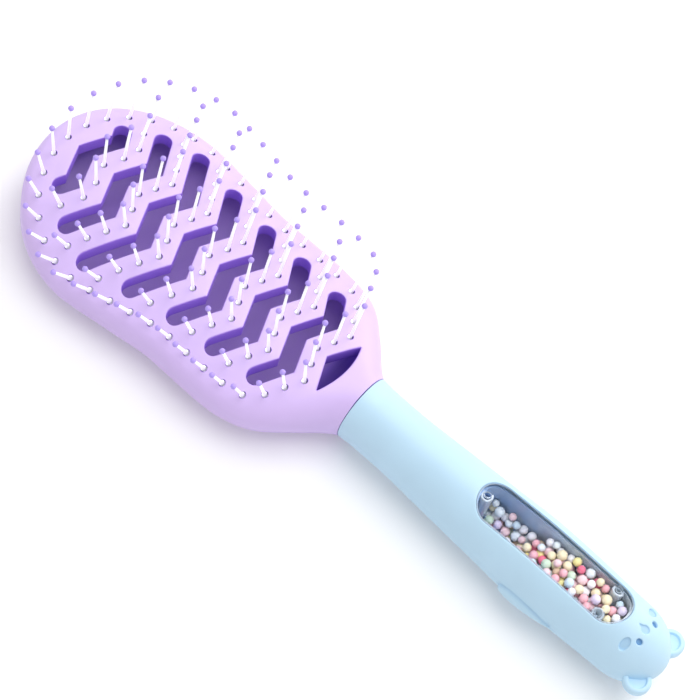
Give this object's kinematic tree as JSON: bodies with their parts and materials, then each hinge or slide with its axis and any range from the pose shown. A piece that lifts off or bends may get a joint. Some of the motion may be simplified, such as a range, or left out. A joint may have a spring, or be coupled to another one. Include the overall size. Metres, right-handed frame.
{
  "type": "hair brush",
  "caption": "Vented paddle hair brush with a violet-lavender head, ball-tipped pins and a pale blue bear-faced handle holding loose beads behind a clear window.",
  "frame": {"origin": "on the surface that the brush lies on, at the middle of its length and of its width", "axes": "+Z towards the pins, +X along the brush towards the bear's ears, +Y across the head"},
  "size_m": [0.2369, 0.0774, 0.0416],
  "materials": {
    "head_plastic": "smooth satin lavender plastic",
    "pin_nylon": "polished clear nylon",
    "handle_plastic": "smooth satin pale blue plastic",
    "capsule_clear": "clear polished acrylic",
    "bead_foam": "mixed pastel foam beads",
    "screw_steel": "plain steel"
  },
  "bodies": {
    "brush": {"head_front_shell": "head_plastic", "head_back_shell": "head_plastic", "pin_rim": "pin_nylon", "pin_row_1": "pin_nylon", "pin_row_2": "pin_nylon", "pin_row_3": "pin_nylon", "pin_row_4": "pin_nylon", "pin_row_5": "pin_nylon", "pin_row_6": "pin_nylon", "pin_row_7": "pin_nylon", "handle_front_shell": "handle_plastic", "handle_back_shell": "handle_plastic", "capsule_cup": "capsule_clear", "capsule_cover": "capsule_clear", "bead_bed": "bead_foam", "screw_front": "screw_steel", "screw_left": "screw_steel", "screw_right": "screw_steel"},
    "loose_beads": {"bead_layer": "bead_foam"}
  },
  "joints": [
    {"name": "bead_run", "type": "slide", "parent": "brush", "child": "loose_beads", "axis": [-1, 0, 0], "range_m": [0, 0.012]}
  ]
}
